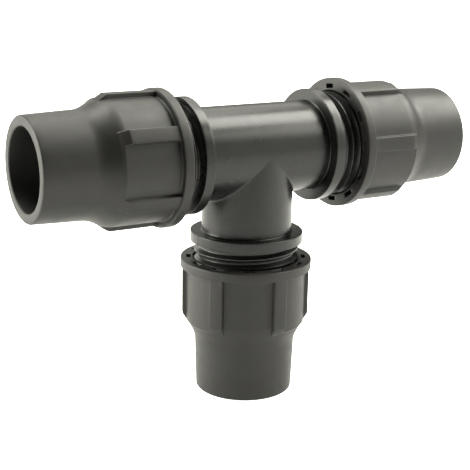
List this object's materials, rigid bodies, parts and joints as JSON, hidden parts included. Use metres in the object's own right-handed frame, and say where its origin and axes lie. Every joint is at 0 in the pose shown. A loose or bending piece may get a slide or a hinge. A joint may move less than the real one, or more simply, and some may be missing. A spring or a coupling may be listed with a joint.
{
  "type": "pipe tee fitting",
  "caption": "Compression tee for plastic pipe: ribbed screw nuts with long sleeves hold grip rings, thrust bushes and seals on a moulded tee body.",
  "frame": {"origin": "on the branch's axis, in the mouth plane of the branch nut, on which the fitting stands. The run's axis is 80.2 mm above it. The overall box is centred 0.75 mm to the +X side, because the right nut is unscrewed 1.5 mm further than the left one", "axes": "+X along the run from the left port to the right port, +Z from the branch port up to the run, -Y the front"},
  "size_m": [0.1529, 0.043, 0.1016],
  "materials": {
    "body_plastic": "black polypropylene moulding with a satin sheen",
    "nut_plastic": "black polypropylene moulding with a fine spark-eroded texture",
    "grip_acetal": "natural white acetal",
    "bush_plastic": "black polypropylene",
    "seal_rubber": "black nitrile rubber"
  },
  "bodies": {
    "tee": {"tee_body": "body_plastic", "left_o_ring": "seal_rubber", "right_o_ring": "seal_rubber", "branch_o_ring": "seal_rubber"},
    "left_grip_set": {"left_grip_ring": "grip_acetal", "left_thrust_bush": "bush_plastic"},
    "left_nut": {"left_nut": "nut_plastic"},
    "right_grip_set": {"right_grip_ring": "grip_acetal", "right_thrust_bush": "bush_plastic"},
    "right_nut": {"right_nut": "nut_plastic"},
    "branch_grip_set": {"branch_grip_ring": "grip_acetal", "branch_thrust_bush": "bush_plastic"},
    "branch_nut": {"branch_nut": "nut_plastic"}
  },
  "joints": [
    {"name": "left_nut_travel", "type": "slide", "parent": "tee", "child": "left_grip_set", "axis": [1, 0, 0], "range_m": [-0.00851, 0.00431]},
    {"name": "left_nut_turn", "type": "hinge", "parent": "left_grip_set", "child": "left_nut", "pos_m": [0, 0, 0.0802], "axis": [1, 0, 0], "range_deg": [-1020, 516]},
    {"name": "right_nut_travel", "type": "slide", "parent": "tee", "child": "right_grip_set", "axis": [-1, 0, 0], "range_m": [-0.00701, 0.00581]},
    {"name": "right_nut_turn", "type": "hinge", "parent": "right_grip_set", "child": "right_nut", "pos_m": [0, 0, 0.0802], "axis": [-1, 0, 0], "range_deg": [-840, 696]},
    {"name": "branch_nut_travel", "type": "slide", "parent": "tee", "child": "branch_grip_set", "axis": [0, 0, 1], "range_m": [-0.00821, 0.00461]},
    {"name": "branch_nut_turn", "type": "hinge", "parent": "branch_grip_set", "child": "branch_nut", "pos_m": [0, 0, 0.05], "axis": [0, 0, 1], "range_deg": [-984, 552]}
  ],
  "couplings": [
    {"joint": "left_nut_travel", "follows": "left_nut_turn", "m_per_rad": 0.00047746},
    {"joint": "right_nut_travel", "follows": "right_nut_turn", "m_per_rad": 0.00047746},
    {"joint": "branch_nut_travel", "follows": "branch_nut_turn", "m_per_rad": 0.00047746}
  ]
}
